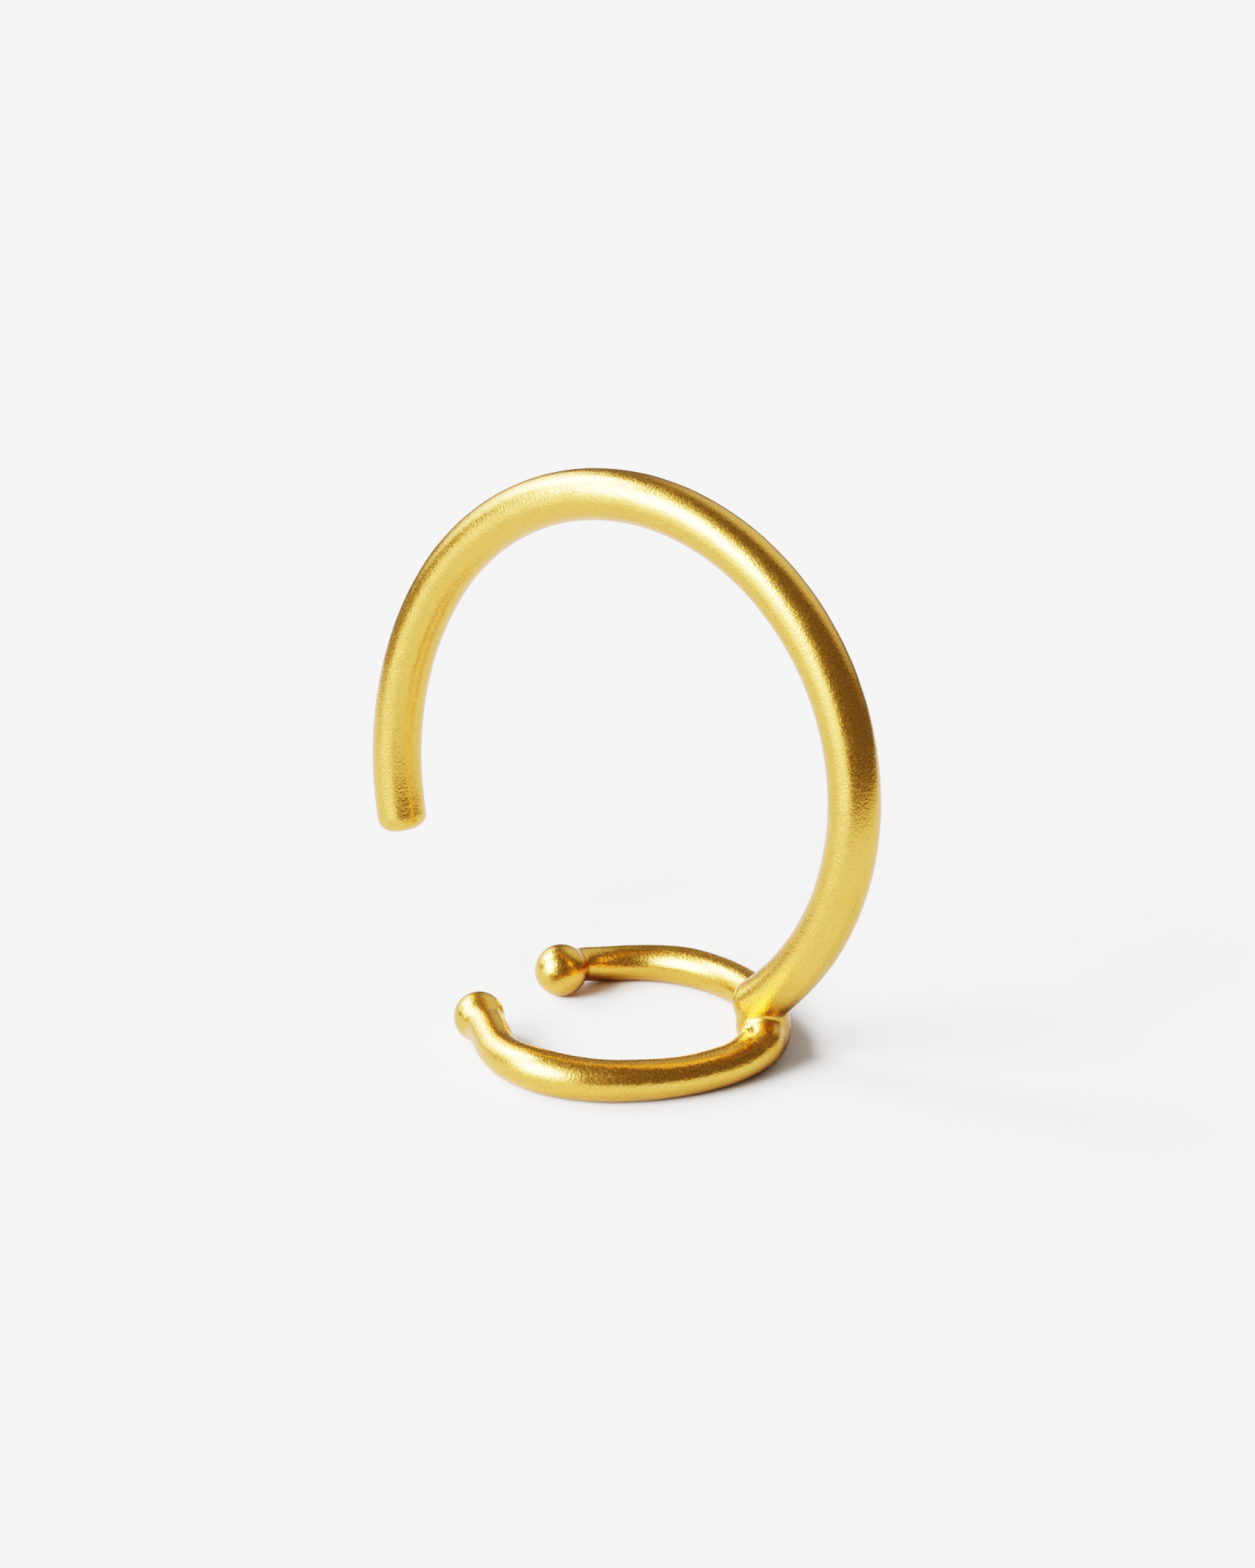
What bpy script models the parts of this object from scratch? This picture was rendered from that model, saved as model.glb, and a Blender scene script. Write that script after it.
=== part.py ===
"""Nose pin: an open wire hoop soldered by its foot on a small open clip ring with ball ends.

Units are metres, +Z is up. The pin stands on its clip ring, and the origin is on the ground at the
centre of the pin's bounding box. The hoop's plane holds the X axis and leans a little towards +Y.
"""
import math

import bpy
from mathutils import Matrix, Vector

MM = 0.001

# Hoop, its angles in degrees from +X over the top
HOOP_WIRE = 1.0 * MM
HOOP_RADIUS = 5.30 * MM
HOOP_FOOT_ANGLE = -49.3
HOOP_FREE_ANGLE = 206.2
HOOP_SPREAD = 0.52 * MM
HOOP_SPREAD_FROM = 150.0
HOOP_LEAN = 5.5
HOOP_SECTIONS = 72
HOOP_SIDES = 20
FREE_END_ROUND = 0.30 * MM
FOOT_ROUND = 0.42 * MM
FOOT_OVERHANG = 0.40 * MM

# Clip ring, its angles in degrees from +X, the front arm's below zero
RING_WIRE = 0.80 * MM
RING_RADIUS = 2.66 * MM
RING_FRONT_ANGLE = -144.0
RING_BACK_ANGLE = 160.0
RING_OVAL = 0.034
RING_OVAL_ANGLE = 65.0
RING_EGG = 0.029
RING_EGG_ANGLE = 11.6
RING_TIP_ARC = 20.0
RING_FRONT_SPREAD = 0.26 * MM
RING_BACK_SPREAD = -0.15 * MM
RING_RISE_ARC = 30.0
RING_SHOULDER = 0.04 * MM
RING_SHOULDER_ANGLE = 4.0
RING_SHOULDER_ARC = 30.0
RING_SECTIONS = 72
RING_SIDES = 18
FRONT_BALL = 1.00 * MM
BACK_BALL = 1.05 * MM
NECK_BLEND = 0.10 * MM

# Solder joint, with the solder's fillets beside each wire and its place between their centres
JOINT_ANGLE = 18.9
JOINT_ROLL = 19.5
JOINT_SINK = 0.16 * MM
SOLDER_BY_HOOP = 0.07 * MM
SOLDER_BY_RING = 0.12 * MM
SOLDER_HEIGHT = 0.76 * MM
SOLDER_PLACE = 0.55

# Thickness of each wire along its way, as (share of the way, share of the wire)
HOOP_TAPER = ((0.00, 0.97), (0.15, 1.00), (1.00, 1.00))
RING_TAPER = (
    (0.00, 0.98), (0.09, 0.98), (0.17, 1.06), (0.28, 1.00), (0.38, 0.95), (0.44, 0.97),
    (0.50, 1.08), (0.58, 0.98), (0.79, 0.98), (0.89, 0.90), (1.00, 0.83),
)

# Fineness of the paths and of the rounded ends, the limit of an end's rounding as a share of the
# wire's radius, and the flat left on a ball's tip as a share of its first step
PATH_STEPS = 720
END_STEPS = 7
ROUND_LIMIT = 0.9
TIP_SHARE = 0.25

GOLD = (0.80, 0.58, 0.22, 1.0)
SHARP_ANGLE = 40.0


def clear_scene():
    for old in list(bpy.data.objects):
        bpy.data.objects.remove(old, do_unlink=True)


def ease(share):
    share = min(max(share, 0.0), 1.0)
    return share * share * (3.0 - 2.0 * share)


def along_table(table, way):
    """Read a table of (share of the way, value), eased between its rows."""
    for (start, low), (end, high) in zip(table, table[1:]):
        if way <= end:
            return low + (high - low) * ease((way - start) / (end - start))
    return table[-1][1]


def ring_distance(angle):
    """Distance of the clip ring's centreline from the ring's axis at an angle in degrees."""
    oval = RING_OVAL * math.cos(math.radians(2.0 * (angle - RING_OVAL_ANGLE)))
    egg = RING_EGG * math.cos(math.radians(3.0 * (angle - RING_EGG_ANGLE)))
    front = max(RING_FRONT_ANGLE + RING_TIP_ARC - angle, 0.0) / RING_TIP_ARC
    back = max(angle - RING_BACK_ANGLE + RING_TIP_ARC, 0.0) / RING_TIP_ARC
    spread = RING_FRONT_SPREAD * front**2 + RING_BACK_SPREAD * back**2
    shoulder = RING_SHOULDER * ease(1.0 - abs(angle - RING_SHOULDER_ANGLE) / RING_SHOULDER_ARC)
    return RING_RADIUS * (1.0 + oval + egg) + spread + shoulder


def ring_wire_radius(angle):
    way = (angle - RING_FRONT_ANGLE) / (RING_BACK_ANGLE - RING_FRONT_ANGLE)
    return RING_WIRE / 2 * along_table(RING_TAPER, way)


def ring_point(angle):
    """Point of the clip ring's centreline: flat on the ground, with tips raised on their balls."""
    wire_radius = ring_wire_radius(angle)
    rise_to_front = ease(1.0 - (angle - RING_FRONT_ANGLE) / RING_RISE_ARC)
    rise_to_back = ease(1.0 - (RING_BACK_ANGLE - angle) / RING_RISE_ARC)
    height = wire_radius + (FRONT_BALL / 2 - wire_radius) * rise_to_front
    height += (BACK_BALL / 2 - wire_radius) * rise_to_back
    turn = math.radians(angle)
    distance = ring_distance(angle)
    return Vector((distance * math.cos(turn), distance * math.sin(turn), height))


def hoop_foot():
    """Centre of the hoop's wire where its foot is soldered on the ring."""
    outward = Vector((math.cos(math.radians(JOINT_ANGLE)), math.sin(math.radians(JOINT_ANGLE)), 0.0))
    roll = math.radians(JOINT_ROLL)
    reach = (HOOP_WIRE + RING_WIRE) / 2 - JOINT_SINK
    return ring_point(JOINT_ANGLE) + reach * (Vector((0, 0, math.cos(roll))) - outward * math.sin(roll))


def hoop_arm(angle):
    """Vector from the hoop's centre to its centreline at an angle in degrees."""
    past = max(angle - HOOP_SPREAD_FROM, 0.0) / (HOOP_FREE_ANGLE - HOOP_SPREAD_FROM)
    distance = HOOP_RADIUS + HOOP_SPREAD * past**2
    turn = math.radians(angle)
    flat = Vector((distance * math.cos(turn), 0.0, distance * math.sin(turn)))
    return Matrix.Rotation(math.radians(-HOOP_LEAN), 3, "X") @ flat


def hoop_point(angle):
    return hoop_foot() - hoop_arm(HOOP_FOOT_ANGLE) + hoop_arm(angle)


def path_lengths(points):
    lengths = [0.0]
    for here, there in zip(points, points[1:]):
        lengths.append(lengths[-1] + (there - here).length)
    return lengths


def stations(length, count, end_sizes):
    """Distances along a wire: even in its middle, closer together in its two rounded ends."""
    start, end = end_sizes
    turns = [math.pi / 2 * step / END_STEPS for step in range(END_STEPS)]
    first = [start * (1.0 - math.cos(turn)) for turn in turns]
    last = [length - end * (1.0 - math.cos(turn)) for turn in reversed(turns)]
    middle = [start + (length - start - end) * step / count for step in range(count + 1)]
    return first + middle + last


def resample(values, lengths, distances):
    """Points or radii known at some lengths along a wire, read at the given distances."""
    found = []
    row = 0
    for distance in distances:
        while row < len(lengths) - 2 and lengths[row + 1] < distance:
            row += 1
        share = (distance - lengths[row]) / (lengths[row + 1] - lengths[row])
        found.append(values[row] + (values[row + 1] - values[row]) * share)
    return found


def wire_object(name, points, radii, sides):
    """Closed wire through the points, made from a curve with a round bevel and filled caps."""
    curve = bpy.data.curves.new(name + "_path", "CURVE")
    curve.dimensions = "3D"
    curve.twist_mode = "MINIMUM"
    curve.bevel_depth = 1.0
    curve.bevel_resolution = (sides - 4) // 2
    curve.use_fill_caps = True
    spline = curve.splines.new("POLY")
    spline.points.add(len(points) - 1)
    for knot, point, radius in zip(spline.points, points, radii):
        knot.co = (*point, 1.0)
        knot.radius = radius
    guide = bpy.data.objects.new(name + "_guide", curve)
    bpy.context.collection.objects.link(guide)
    evaluated = guide.evaluated_get(bpy.context.evaluated_depsgraph_get())
    mesh = bpy.data.meshes.new_from_object(evaluated)
    mesh.name = name
    bpy.data.objects.remove(guide, do_unlink=True)
    wire = bpy.data.objects.new(name, mesh)
    bpy.context.collection.objects.link(wire)
    return wire


def make_hoop():
    """Hoop from its soldered foot over the top to its free end."""
    start = HOOP_FOOT_ANGLE - math.degrees(FOOT_OVERHANG / HOOP_RADIUS)
    sweep = HOOP_FREE_ANGLE - start
    fine = [hoop_point(start + sweep * step / PATH_STEPS) for step in range(PATH_STEPS + 1)]
    lengths = path_lengths(fine)
    length = lengths[-1]
    foot_round = min(FOOT_ROUND, ROUND_LIMIT * HOOP_WIRE / 2)
    free_round = min(FREE_END_ROUND, ROUND_LIMIT * HOOP_WIRE / 2)
    distances = stations(length, HOOP_SECTIONS, (foot_round, free_round))
    radii = []
    for distance in distances:
        radius = HOOP_WIRE / 2 * along_table(HOOP_TAPER, distance / length)
        for depth, rounding in ((distance, foot_round), (length - distance, free_round)):
            if depth < rounding:
                radius -= rounding - math.sqrt(rounding**2 - (rounding - depth) ** 2)
        radii.append(radius)
    return wire_object("nose_pin", resample(fine, lengths, distances), radii, HOOP_SIDES)


def ball_profile(depth, ball_radius, wire_radius):
    """Radius of a ball end at a depth from its tip, run smoothly into the wire behind it."""
    inside = max(ball_radius**2 - (depth - ball_radius) ** 2, 0.0)
    ball = math.sqrt(inside)
    if depth < ball_radius:
        return ball
    meet = max(NECK_BLEND - abs(ball - wire_radius), 0.0) / NECK_BLEND
    return max(ball, wire_radius) + meet**2 * NECK_BLEND / 4


def make_ring():
    """Clip ring with its two ball ends, from the front ball round to the back ball."""
    sweep = RING_BACK_ANGLE - RING_FRONT_ANGLE
    angles = [RING_FRONT_ANGLE + sweep * step / PATH_STEPS for step in range(PATH_STEPS + 1)]
    fine = [ring_point(angle) for angle in angles]
    wire_radii = [ring_wire_radius(angle) for angle in angles]
    front_radius = FRONT_BALL / 2
    back_radius = BACK_BALL / 2
    front_end = fine[0] + (fine[0] - fine[1]).normalized() * front_radius
    back_end = fine[-1] + (fine[-1] - fine[-2]).normalized() * back_radius
    fine = [front_end, *fine, back_end]
    wire_radii = [wire_radii[0], *wire_radii, wire_radii[-1]]
    lengths = path_lengths(fine)
    length = lengths[-1]
    distances = stations(length, RING_SECTIONS, (front_radius, back_radius))
    tip = distances[1] * TIP_SHARE
    distances = [tip, *distances[1:-1], length - tip]
    radii = []
    for distance, wire_radius in zip(distances, resample(wire_radii, lengths, distances)):
        if distance < length / 2:
            radii.append(ball_profile(distance, front_radius, wire_radius))
        else:
            radii.append(ball_profile(length - distance, back_radius, wire_radius))
    return wire_object("clip_ring", resample(fine, lengths, distances), radii, RING_SIDES)


def make_solder():
    """Solder between the hoop's foot and the ring: a low ellipsoid along the ring's wire."""
    bpy.ops.mesh.primitive_uv_sphere_add(segments=24, ring_count=12, radius=0.5)
    solder = bpy.context.object
    solder.name = "solder"
    width = RING_WIRE + 2 * SOLDER_BY_RING
    length = HOOP_WIRE + 2 * SOLDER_BY_HOOP
    size = Matrix.Diagonal((width, length, SOLDER_HEIGHT, 1.0))
    turn = Matrix.Rotation(math.radians(JOINT_ANGLE), 4, "Z")
    roll = Matrix.Rotation(math.radians(-JOINT_ROLL), 4, "Y")
    centre = hoop_foot().lerp(ring_point(JOINT_ANGLE), SOLDER_PLACE)
    solder.data.transform(Matrix.Translation(centre) @ turn @ roll @ size)
    return solder


def to_ground_centre(objects):
    """Move the objects so that the origin is at the bottom centre of their bounding box."""
    corners = [vertex.co for item in objects for vertex in item.data.vertices]
    low = Vector([min(corner[axis] for corner in corners) for axis in range(3)])
    high = Vector([max(corner[axis] for corner in corners) for axis in range(3)])
    middle = (low + high) / 2
    for item in objects:
        item.location = Vector((-middle.x, -middle.y, -low.z))


def gold_material():
    gold = bpy.data.materials.new("satin_gold")
    gold.use_nodes = True
    shader = gold.node_tree.nodes["Principled BSDF"]
    shader.inputs["Base Color"].default_value = GOLD
    shader.inputs["Metallic"].default_value = 1.0
    shader.inputs["Roughness"].default_value = 0.32
    return gold


def join_on(body, pieces):
    """Solder the pieces on the body, as unions that stay live on it."""
    for piece in pieces:
        union = body.modifiers.new(piece.name, "BOOLEAN")
        union.operation = "UNION"
        union.solver = "EXACT"
        union.object = piece
        piece.hide_render = True
        piece.display_type = "WIRE"


def main():
    clear_scene()
    pin = make_hoop()
    ring = make_ring()
    solder = make_solder()
    to_ground_centre([pin, ring, solder])
    gold = gold_material()
    for item in (pin, ring, solder):
        item.data.materials.clear()
        item.data.materials.append(gold)
        item.data.shade_smooth()
        item.data.set_sharp_from_angle(angle=math.radians(SHARP_ANGLE))
    join_on(pin, [ring, solder])


main()
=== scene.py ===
"""Satin gold nose pin: an open wire hoop soldered by its foot on a small ball-ended clip ring.

Laid out as a Blender add-on and run as a script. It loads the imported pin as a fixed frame, bends
the two wires over it, solders them into one smooth surface, gives it its satin gold and sets the
pale floor, the soft light and the camera. Units are metres, +Z is up.
"""

import math

import bpy
import numpy as np
from bpy.props import FloatProperty, FloatVectorProperty, PointerProperty
from mathutils import Matrix, Vector, noise
from mathutils.kdtree import KDTree


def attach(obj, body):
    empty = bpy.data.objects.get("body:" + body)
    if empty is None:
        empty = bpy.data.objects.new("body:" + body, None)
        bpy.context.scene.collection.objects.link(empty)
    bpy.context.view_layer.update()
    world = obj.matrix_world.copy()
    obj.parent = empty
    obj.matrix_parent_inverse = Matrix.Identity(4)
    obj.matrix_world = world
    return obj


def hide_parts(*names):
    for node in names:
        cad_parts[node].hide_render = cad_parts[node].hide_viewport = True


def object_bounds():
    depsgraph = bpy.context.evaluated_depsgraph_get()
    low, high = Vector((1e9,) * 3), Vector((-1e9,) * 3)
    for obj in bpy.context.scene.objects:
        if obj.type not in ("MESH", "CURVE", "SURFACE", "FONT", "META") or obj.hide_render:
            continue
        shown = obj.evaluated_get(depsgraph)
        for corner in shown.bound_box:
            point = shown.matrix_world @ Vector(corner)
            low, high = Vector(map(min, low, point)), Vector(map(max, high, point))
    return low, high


bl_info = {
    "name": "Nose Pin",
    "version": (1, 0, 0),
    "blender": (4, 5, 0),
    "location": "3D View > Sidebar > Nose Pin",
    "description": "Bends, solders and finishes a satin gold nose pin over its packed frame",
    "category": "Add Mesh",
}

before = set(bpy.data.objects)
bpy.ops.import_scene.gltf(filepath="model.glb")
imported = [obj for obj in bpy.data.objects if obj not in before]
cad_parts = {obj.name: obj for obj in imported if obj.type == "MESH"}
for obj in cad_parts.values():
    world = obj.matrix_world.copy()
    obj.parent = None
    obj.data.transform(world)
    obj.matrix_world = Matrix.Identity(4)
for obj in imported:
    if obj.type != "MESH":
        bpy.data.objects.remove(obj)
CAD_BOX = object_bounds()

MM = 0.001
NODE = "nose_pin"

# The photographed frame, and the focal length and place of the wires' drawing that were fitted
# to the pin's outline in it, in pixels
FRAME_WIDTH = 1725
FRAME_HEIGHT = 2156
FOCAL_LENGTH = 4751.857
DRAWING_ACROSS = 866.831
DRAWING_DOWN = 1427.997

# Where the ring-centred drawing of the wires lies in the part's frame
DRAWING_PLACE = (1.18182 * MM, 0.06650 * MM, -0.00198 * MM)

# Thickness of each wire along its way, as (share of the way, share of the wire)
HOOP_TAPER = ((0.00, 0.97), (0.15, 1.00), (1.00, 1.00))
RING_TAPER = (
    (0.00, 0.98), (0.09, 0.98), (0.17, 1.06), (0.28, 1.00), (0.38, 0.95), (0.44, 0.97),
    (0.50, 1.08), (0.58, 0.98), (0.79, 0.98), (0.89, 0.90), (1.00, 0.83),
)
PATH_STEPS = 1440

# Solder's lump on the ring's outer side and its small drop beside the pinhole, in millimetres
LUMP_CENTRE = (4.05, 0.45, 0.62)
LUMP_BLEND = 0.24
DROP_CENTRE = (3.661, 0.286, 0.780)
DROP_RADIUS = 0.055
DROP_BLEND = 0.05

# Pinhole in the solder, in millimetres: its place and axis, how far it reaches, the depth and
# spread of its dent, and the radii between which the shade painted into it fades
PINHOLE_CENTRE = (3.834, 0.274, 0.852)
PINHOLE_AXIS = (0.531, -0.756, 0.383)
PINHOLE_REACH = 0.4
DENT_DEPTH = 0.05
DENT_SPREAD = 0.05
PAINTED_SHADE_RADIUS = 0.035
PAINTED_SHADE_FADE = 0.085
# Share and colour of the painted shade in the pinhole, standing in for the shade inside it
PAINTED_SHADE_SHARE = 0.94
PINHOLE_SHADE_COLOUR = (0.035, 0.028, 0.006, 1.0)

# Settling of the soldered skin, in millimetres: step over which its slope is measured, least
# squared slope, share by which points are evened out, and width of the solder's soft edge
SLOPE_STEP = 0.004
LEAST_SLOPE = 0.05
EVENING = 0.6
SOLDER_EDGE = 0.025

# Lengths of the hand work's long and short waves in millimetres, and the short ones' height
LONG_WAVE = 0.55
SHORT_WAVE = 0.26
SHORT_HEIGHT = 0.5

# Shares by which patches, specks and solder change the satin's warmth, tone and roughness
PATCH_WARMTH = 0.35
SOLDER_WARMTH = 0.9
SPECK_TONE = 0.26
SPECK_ROUGHNESS = 0.05
PATCH_ROUGHNESS = 0.03
SOLDER_ROUGHNESS = 0.06

# Fewest faces of a swept wire and fewest points of the fused skin that count as made
LEAST_FACES = 1000
LEAST_POINTS = 10000


class HoopSizes(bpy.types.PropertyGroup):
    """Sizes of the open hoop"""

    wire: FloatProperty(
        name="Wire", description="Thickness of the hoop's wire", default=1.0 * MM, unit="LENGTH"
    )
    radius: FloatProperty(
        name="Radius", description="Radius of the wire's centreline",
        default=5.30 * MM, unit="LENGTH",
    )
    foot_angle: FloatProperty(
        name="Foot", description="Angle of the soldered foot, from +X over the top",
        default=math.radians(-49.3), subtype="ANGLE",
    )
    free_angle: FloatProperty(
        name="Free End", description="Angle of the free end, from +X over the top",
        default=math.radians(206.2), subtype="ANGLE",
    )
    spread: FloatProperty(
        name="Spread", description="How far the free end opens out of the circle",
        default=0.52 * MM, unit="LENGTH",
    )
    spread_from: FloatProperty(
        name="Spread From", description="Angle at which the wire starts to open out",
        default=math.radians(150.0), subtype="ANGLE",
    )
    lean: FloatProperty(
        name="Lean", description="Lean of the hoop's plane towards +Y",
        default=math.radians(5.5), subtype="ANGLE",
    )
    free_round: FloatProperty(
        name="Free End Rounding", description="Rounding of the free end's rim",
        default=0.30 * MM, unit="LENGTH",
    )
    foot_round: FloatProperty(
        name="Foot Rounding", description="Rounding of the foot's rim",
        default=0.42 * MM, unit="LENGTH",
    )
    foot_overhang: FloatProperty(
        name="Foot Overhang", description="Wire past the point that is soldered on the ring",
        default=0.40 * MM, unit="LENGTH",
    )


class ClipRingSizes(bpy.types.PropertyGroup):
    """Sizes of the small open clip ring and its ball ends"""

    wire: FloatProperty(
        name="Wire", description="Thickness of the ring's wire", default=0.80 * MM, unit="LENGTH"
    )
    radius: FloatProperty(
        name="Radius", description="Mean radius of the wire's centreline",
        default=2.66 * MM, unit="LENGTH",
    )
    front_angle: FloatProperty(
        name="Front Ball", description="Angle of the front ball's centre",
        default=math.radians(-144.0), subtype="ANGLE",
    )
    back_angle: FloatProperty(
        name="Back Ball", description="Angle of the back ball's centre",
        default=math.radians(160.0), subtype="ANGLE",
    )
    oval: FloatProperty(name="Oval", description="Share by which the ring is oval", default=0.034)
    oval_angle: FloatProperty(
        name="Oval Angle", description="Angle of the oval's long axis",
        default=math.radians(65.0), subtype="ANGLE",
    )
    egg: FloatProperty(
        name="Egg", description="Share by which the ring has three lobes", default=0.029
    )
    egg_angle: FloatProperty(
        name="Egg Angle", description="Angle of the first lobe",
        default=math.radians(11.6), subtype="ANGLE",
    )
    tip_arc: FloatProperty(
        name="Tip Arc", description="Length of the arms' bent tips",
        default=math.radians(20.0), subtype="ANGLE",
    )
    front_spread: FloatProperty(
        name="Front Spread", description="How far the front tip is bent outwards",
        default=0.26 * MM, unit="LENGTH",
    )
    back_spread: FloatProperty(
        name="Back Spread", description="How far the back tip is bent outwards",
        default=-0.15 * MM, unit="LENGTH",
    )
    rise_arc: FloatProperty(
        name="Rise Arc", description="Length over which the wire rises to a ball's centre",
        default=math.radians(30.0), subtype="ANGLE",
    )
    shoulder: FloatProperty(
        name="Shoulder", description="Outward swelling of the bend in front of the joint",
        default=0.04 * MM, unit="LENGTH",
    )
    shoulder_angle: FloatProperty(
        name="Shoulder Angle", description="Angle of the shoulder's middle",
        default=math.radians(4.0), subtype="ANGLE",
    )
    shoulder_arc: FloatProperty(
        name="Shoulder Arc", description="Length of the shoulder to each side",
        default=math.radians(30.0), subtype="ANGLE",
    )
    front_ball: FloatProperty(
        name="Front Ball Size", description="Diameter of the front ball",
        default=1.00 * MM, unit="LENGTH",
    )
    back_ball: FloatProperty(
        name="Back Ball Size", description="Diameter of the back ball",
        default=1.05 * MM, unit="LENGTH",
    )
    neck: FloatProperty(
        name="Neck", description="Fillet between a ball and its wire",
        default=0.10 * MM, unit="LENGTH",
    )


class SolderSizes(bpy.types.PropertyGroup):
    """Place and sizes of the soldered joint"""

    angle: FloatProperty(
        name="Angle", description="Angle of the joint on the ring",
        default=math.radians(18.9), subtype="ANGLE",
    )
    roll: FloatProperty(
        name="Roll", description="Roll of the foot from the ring's top to its inner side",
        default=math.radians(19.5), subtype="ANGLE",
    )
    sink: FloatProperty(
        name="Sink", description="Depth of the foot in the ring's wire",
        default=0.16 * MM, unit="LENGTH",
    )
    by_hoop: FloatProperty(
        name="Beside Hoop", description="Solder beside the hoop's wire",
        default=0.07 * MM, unit="LENGTH",
    )
    by_ring: FloatProperty(
        name="Beside Ring", description="Solder beside the ring's wire",
        default=0.12 * MM, unit="LENGTH",
    )
    height: FloatProperty(
        name="Height", description="Height of the solder between the wires",
        default=0.76 * MM, unit="LENGTH",
    )
    place: FloatProperty(
        name="Place", description="Place of the solder between the foot's centre and the ring's",
        default=0.55, min=0.0, max=1.0, subtype="FACTOR",
    )
    fillet: FloatProperty(
        name="Fillet", description="Width of the solder's fillets",
        default=0.18 * MM, unit="LENGTH",
    )
    shoulder: FloatProperty(
        name="Shoulder", description="Radius of the solder's lump on the ring's outer side",
        default=0.30 * MM, unit="LENGTH",
    )
    cell: FloatProperty(
        name="Cell", description="Size of the soldered surface's faces",
        default=0.044 * MM, unit="LENGTH",
    )
    waviness: FloatProperty(
        name="Waviness", description="Height of the hand work's waves",
        default=0.0035 * MM, unit="LENGTH",
    )


class GoldFinish(bpy.types.PropertyGroup):
    """Colours and texture of the satin gold"""

    colour: FloatVectorProperty(
        name="Gold", description="Colour of the gold", subtype="COLOR",
        default=(0.77, 0.395, 0.082),
    )
    warm_colour: FloatVectorProperty(
        name="Warm Gold", description="Colour of the warmer patches and of the solder",
        subtype="COLOR", default=(0.73, 0.353, 0.064),
    )
    roughness: FloatProperty(
        name="Roughness", description="Mean roughness of the satin", default=0.24, min=0.0, max=1.0
    )
    grain: FloatProperty(
        name="Grain", description="Size of the satin's grain", default=0.042 * MM, unit="LENGTH"
    )
    grain_depth: FloatProperty(
        name="Grain Depth", description="Depth of the satin's grain",
        default=0.0052 * MM, unit="LENGTH",
    )


class StudioSettings(bpy.types.PropertyGroup):
    """Floor, light and camera"""

    floor_colour: FloatVectorProperty(
        name="Floor", description="Colour of the pale floor", subtype="COLOR",
        default=(0.80, 0.80, 0.80),
    )
    floor_radius: FloatProperty(
        name="Floor Radius", description="Radius of the paper that the pin stands on",
        default=32.0 * MM, unit="LENGTH",
    )
    light: FloatProperty(
        name="Light", description="Strength of all the light", default=3.79, min=0.0
    )
    camera_azimuth: FloatProperty(
        name="Camera Azimuth", description="Angle of the camera round the pin",
        default=math.radians(35.106), subtype="ANGLE",
    )
    camera_elevation: FloatProperty(
        name="Camera Elevation", description="Angle of the camera above the floor",
        default=math.radians(22.546), subtype="ANGLE",
    )
    camera_distance: FloatProperty(
        name="Camera Distance", description="Distance of the camera from the clip ring",
        default=67.474 * MM, unit="LENGTH",
    )


def ease(share):
    """Smooth step from 0 to 1."""
    share = np.clip(share, 0.0, 1.0)
    return share * share * (3.0 - 2.0 * share)


def along_table(table, way):
    """Read a table of (share of the way, value), eased between its rows."""
    value = np.full(np.shape(way), table[-1][1])
    for (start, low), (end, high) in reversed(list(zip(table, table[1:]))):
        eased = low + (high - low) * ease((way - start) / (end - start))
        value = np.where(way <= end, eased, value)
    return value


def ring_wire_radius(ring, angle):
    """Radius of the ring's wire at each angle."""
    way = (angle - ring.front_angle) / (ring.back_angle - ring.front_angle)
    return ring.wire / 2 * along_table(RING_TAPER, way)


def ring_points(ring, angle):
    """Points of the clip ring's centreline: flat on the ground, its tips raised on the balls."""
    angle = np.atleast_1d(angle)
    oval = ring.oval * np.cos(2.0 * (angle - ring.oval_angle))
    egg = ring.egg * np.cos(3.0 * (angle - ring.egg_angle))
    front = np.maximum(ring.front_angle + ring.tip_arc - angle, 0.0) / ring.tip_arc
    back = np.maximum(angle - ring.back_angle + ring.tip_arc, 0.0) / ring.tip_arc
    spread = ring.front_spread * front**2 + ring.back_spread * back**2
    shoulder = ring.shoulder * ease(1.0 - np.abs(angle - ring.shoulder_angle) / ring.shoulder_arc)
    distance = ring.radius * (1.0 + oval + egg) + spread + shoulder
    wire = ring_wire_radius(ring, angle)
    to_front = ease(1.0 - (angle - ring.front_angle) / ring.rise_arc)
    to_back = ease(1.0 - (ring.back_angle - angle) / ring.rise_arc)
    height = wire + (ring.front_ball / 2 - wire) * to_front + (ring.back_ball / 2 - wire) * to_back
    points = np.stack([distance * np.cos(angle), distance * np.sin(angle), height], axis=1)
    return points + np.array(DRAWING_PLACE)


def joint_axes(solder):
    """Directions at the joint: outwards from the ring, along its wire, and from wire to wire."""
    outward = np.array([math.cos(solder.angle), math.sin(solder.angle), 0.0])
    along = np.array([-math.sin(solder.angle), math.cos(solder.angle), 0.0])
    stack = np.array([0.0, 0.0, math.cos(solder.roll)]) - outward * math.sin(solder.roll)
    return np.cross(along, stack), along, stack


def hoop_foot(hoop, ring, solder):
    """Centre of the hoop's wire where its foot is soldered on the ring."""
    reach = (hoop.wire + ring.wire) / 2 - solder.sink
    return ring_points(ring, solder.angle)[0] + reach * joint_axes(solder)[2]


def hoop_arm(hoop, angle):
    """Vectors from the hoop's centre to its centreline."""
    angle = np.atleast_1d(angle)
    past = np.maximum(angle - hoop.spread_from, 0.0) / (hoop.free_angle - hoop.spread_from)
    distance = hoop.radius + hoop.spread * past**2
    lean = np.array([0.0, math.sin(hoop.lean), math.cos(hoop.lean)])
    across = np.outer(distance * np.cos(angle), (1.0, 0.0, 0.0))
    return across + np.outer(distance * np.sin(angle), lean)


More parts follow.
